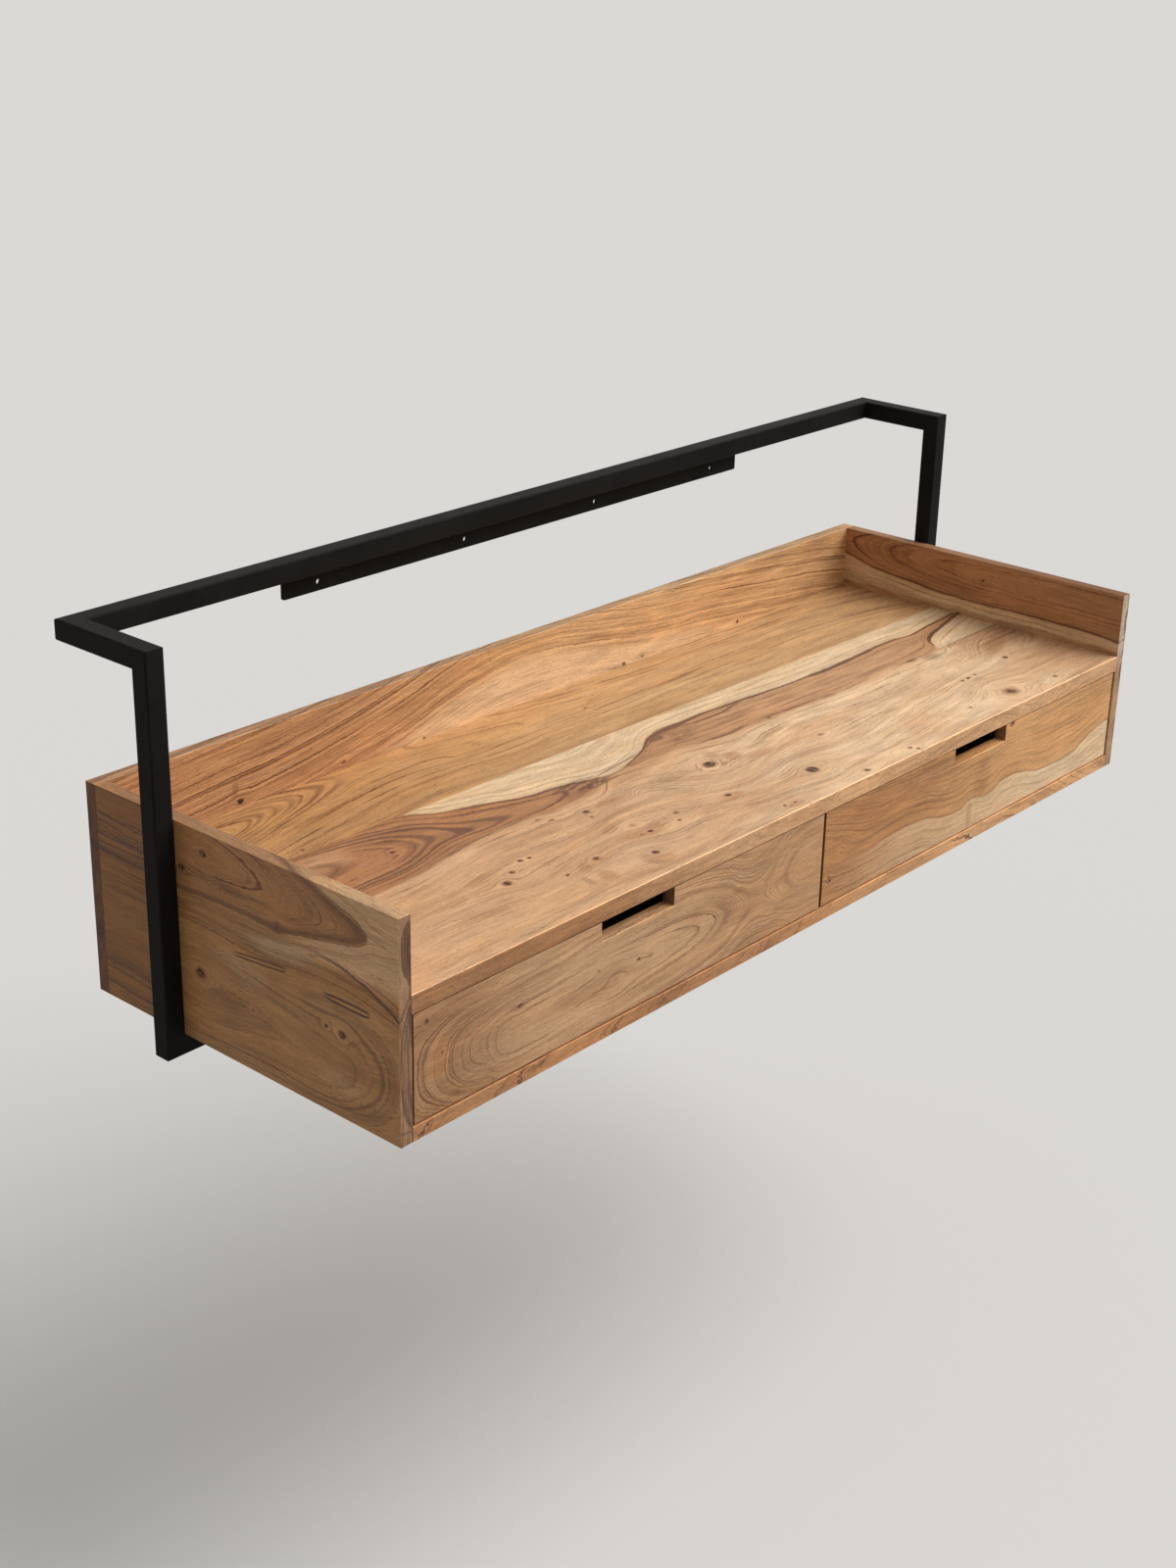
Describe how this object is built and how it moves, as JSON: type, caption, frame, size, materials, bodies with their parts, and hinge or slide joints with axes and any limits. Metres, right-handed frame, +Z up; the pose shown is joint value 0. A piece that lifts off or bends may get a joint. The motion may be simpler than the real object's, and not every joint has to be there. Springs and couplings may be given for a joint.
{
  "type": "wall-hung writing desk",
  "caption": "Shallow wooden box desk with a raised rim and inset drawers on ball slides, hung on a wall in a square-tube steel frame.",
  "frame": {"origin": "on the wall plane, at the middle of the line of screw holes in the wall strip", "axes": "+X to the user's right along the wall, +Y into the wall, +Z up"},
  "size_m": [1.2, 0.4, 0.39],
  "materials": {
    "acacia_board": "oiled acacia, satin",
    "divider_wood": "plain acacia, satin",
    "dowel_wood": "plain beech",
    "drawer_wood": "oiled acacia, satin",
    "drawer_floor": "thin plywood, satin",
    "black_steel": "black powder coat, satin",
    "screw_steel": "blackened zinc plate",
    "slide_steel": "bright zinc plate",
    "cage_steel": "plain steel strip",
    "ball_steel": "polished"
  },
  "bodies": {
    "root": {"back_panel": "acacia_board", "left_side_panel": "acacia_board", "right_side_panel": "acacia_board", "worktop": "acacia_board", "bottom_board": "acacia_board", "centre_divider": "divider_wood", "carcass_dowels": "dowel_wood", "frame_top_rail": "black_steel", "frame_left_arm": "black_steel", "frame_right_arm": "black_steel", "frame_left_post": "black_steel", "frame_right_post": "black_steel", "frame_bottom_rail": "black_steel", "wall_strip": "black_steel", "bottom_rail_screws": "screw_steel", "post_screws": "screw_steel", "cabinet_slide_screws": "screw_steel", "left_drawer_left_slide_cabinet_member": "slide_steel", "left_drawer_right_slide_cabinet_member": "slide_steel", "right_drawer_left_slide_cabinet_member": "slide_steel", "right_drawer_right_slide_cabinet_member": "slide_steel"},
    "left_drawer": {"left_drawer_front": "acacia_board", "left_drawer_left_side": "drawer_wood", "left_drawer_right_side": "drawer_wood", "left_drawer_back": "drawer_wood", "left_drawer_bottom": "drawer_floor", "left_drawer_dowels": "dowel_wood", "left_drawer_slide_screws": "screw_steel", "left_drawer_left_slide_drawer_member": "slide_steel", "left_drawer_right_slide_drawer_member": "slide_steel"},
    "right_drawer": {"right_drawer_front": "acacia_board", "right_drawer_left_side": "drawer_wood", "right_drawer_right_side": "drawer_wood", "right_drawer_back": "drawer_wood", "right_drawer_bottom": "drawer_floor", "right_drawer_dowels": "dowel_wood", "right_drawer_slide_screws": "screw_steel", "right_drawer_left_slide_drawer_member": "slide_steel", "right_drawer_right_slide_drawer_member": "slide_steel"},
    "left_drawer_left_slide_middle": {"left_drawer_left_slide_middle_member": "slide_steel"},
    "left_drawer_left_slide_rear_cage": {"left_drawer_left_slide_rear_ball_cage": "cage_steel", "left_drawer_left_slide_rear_balls": "ball_steel"},
    "left_drawer_left_slide_front_cage": {"left_drawer_left_slide_front_ball_cage": "cage_steel", "left_drawer_left_slide_front_balls": "ball_steel"},
    "left_drawer_right_slide_middle": {"left_drawer_right_slide_middle_member": "slide_steel"},
    "left_drawer_right_slide_rear_cage": {"left_drawer_right_slide_rear_ball_cage": "cage_steel", "left_drawer_right_slide_rear_balls": "ball_steel"},
    "left_drawer_right_slide_front_cage": {"left_drawer_right_slide_front_ball_cage": "cage_steel", "left_drawer_right_slide_front_balls": "ball_steel"},
    "right_drawer_left_slide_middle": {"right_drawer_left_slide_middle_member": "slide_steel"},
    "right_drawer_left_slide_rear_cage": {"right_drawer_left_slide_rear_ball_cage": "cage_steel", "right_drawer_left_slide_rear_balls": "ball_steel"},
    "right_drawer_left_slide_front_cage": {"right_drawer_left_slide_front_ball_cage": "cage_steel", "right_drawer_left_slide_front_balls": "ball_steel"},
    "right_drawer_right_slide_middle": {"right_drawer_right_slide_middle_member": "slide_steel"},
    "right_drawer_right_slide_rear_cage": {"right_drawer_right_slide_rear_ball_cage": "cage_steel", "right_drawer_right_slide_rear_balls": "ball_steel"},
    "right_drawer_right_slide_front_cage": {"right_drawer_right_slide_front_ball_cage": "cage_steel", "right_drawer_right_slide_front_balls": "ball_steel"}
  },
  "joints": [
    {"name": "left_drawer_slide", "type": "slide", "parent": "root", "child": "left_drawer", "axis": [0, -1, 0], "range_m": [0, 0.35]},
    {"name": "right_drawer_slide", "type": "slide", "parent": "root", "child": "right_drawer", "axis": [0, -1, 0], "range_m": [0, 0.35]},
    {"name": "left_drawer_left_slide_middle_travel", "type": "slide", "parent": "root", "child": "left_drawer_left_slide_middle", "axis": [0, -1, 0], "range_m": [0, 0.175]},
    {"name": "left_drawer_left_slide_rear_cage_travel", "type": "slide", "parent": "root", "child": "left_drawer_left_slide_rear_cage", "axis": [0, -1, 0], "range_m": [0, 0.0875]},
    {"name": "left_drawer_left_slide_front_cage_travel", "type": "slide", "parent": "root", "child": "left_drawer_left_slide_front_cage", "axis": [0, -1, 0], "range_m": [0, 0.2625]},
    {"name": "left_drawer_right_slide_middle_travel", "type": "slide", "parent": "root", "child": "left_drawer_right_slide_middle", "axis": [0, -1, 0], "range_m": [0, 0.175]},
    {"name": "left_drawer_right_slide_rear_cage_travel", "type": "slide", "parent": "root", "child": "left_drawer_right_slide_rear_cage", "axis": [0, -1, 0], "range_m": [0, 0.0875]},
    {"name": "left_drawer_right_slide_front_cage_travel", "type": "slide", "parent": "root", "child": "left_drawer_right_slide_front_cage", "axis": [0, -1, 0], "range_m": [0, 0.2625]},
    {"name": "right_drawer_left_slide_middle_travel", "type": "slide", "parent": "root", "child": "right_drawer_left_slide_middle", "axis": [0, -1, 0], "range_m": [0, 0.175]},
    {"name": "right_drawer_left_slide_rear_cage_travel", "type": "slide", "parent": "root", "child": "right_drawer_left_slide_rear_cage", "axis": [0, -1, 0], "range_m": [0, 0.0875]},
    {"name": "right_drawer_left_slide_front_cage_travel", "type": "slide", "parent": "root", "child": "right_drawer_left_slide_front_cage", "axis": [0, -1, 0], "range_m": [0, 0.2625]},
    {"name": "right_drawer_right_slide_middle_travel", "type": "slide", "parent": "root", "child": "right_drawer_right_slide_middle", "axis": [0, -1, 0], "range_m": [0, 0.175]},
    {"name": "right_drawer_right_slide_rear_cage_travel", "type": "slide", "parent": "root", "child": "right_drawer_right_slide_rear_cage", "axis": [0, -1, 0], "range_m": [0, 0.0875]},
    {"name": "right_drawer_right_slide_front_cage_travel", "type": "slide", "parent": "root", "child": "right_drawer_right_slide_front_cage", "axis": [0, -1, 0], "range_m": [0, 0.2625]}
  ],
  "couplings": [
    {"joint": "left_drawer_left_slide_middle_travel", "follows": "left_drawer_slide", "ratio": 0.5},
    {"joint": "left_drawer_left_slide_rear_cage_travel", "follows": "left_drawer_slide", "ratio": 0.25},
    {"joint": "left_drawer_left_slide_front_cage_travel", "follows": "left_drawer_slide", "ratio": 0.75},
    {"joint": "left_drawer_right_slide_middle_travel", "follows": "left_drawer_slide", "ratio": 0.5},
    {"joint": "left_drawer_right_slide_rear_cage_travel", "follows": "left_drawer_slide", "ratio": 0.25},
    {"joint": "left_drawer_right_slide_front_cage_travel", "follows": "left_drawer_slide", "ratio": 0.75},
    {"joint": "right_drawer_left_slide_middle_travel", "follows": "right_drawer_slide", "ratio": 0.5},
    {"joint": "right_drawer_left_slide_rear_cage_travel", "follows": "right_drawer_slide", "ratio": 0.25},
    {"joint": "right_drawer_left_slide_front_cage_travel", "follows": "right_drawer_slide", "ratio": 0.75},
    {"joint": "right_drawer_right_slide_middle_travel", "follows": "right_drawer_slide", "ratio": 0.5},
    {"joint": "right_drawer_right_slide_rear_cage_travel", "follows": "right_drawer_slide", "ratio": 0.25},
    {"joint": "right_drawer_right_slide_front_cage_travel", "follows": "right_drawer_slide", "ratio": 0.75}
  ]
}
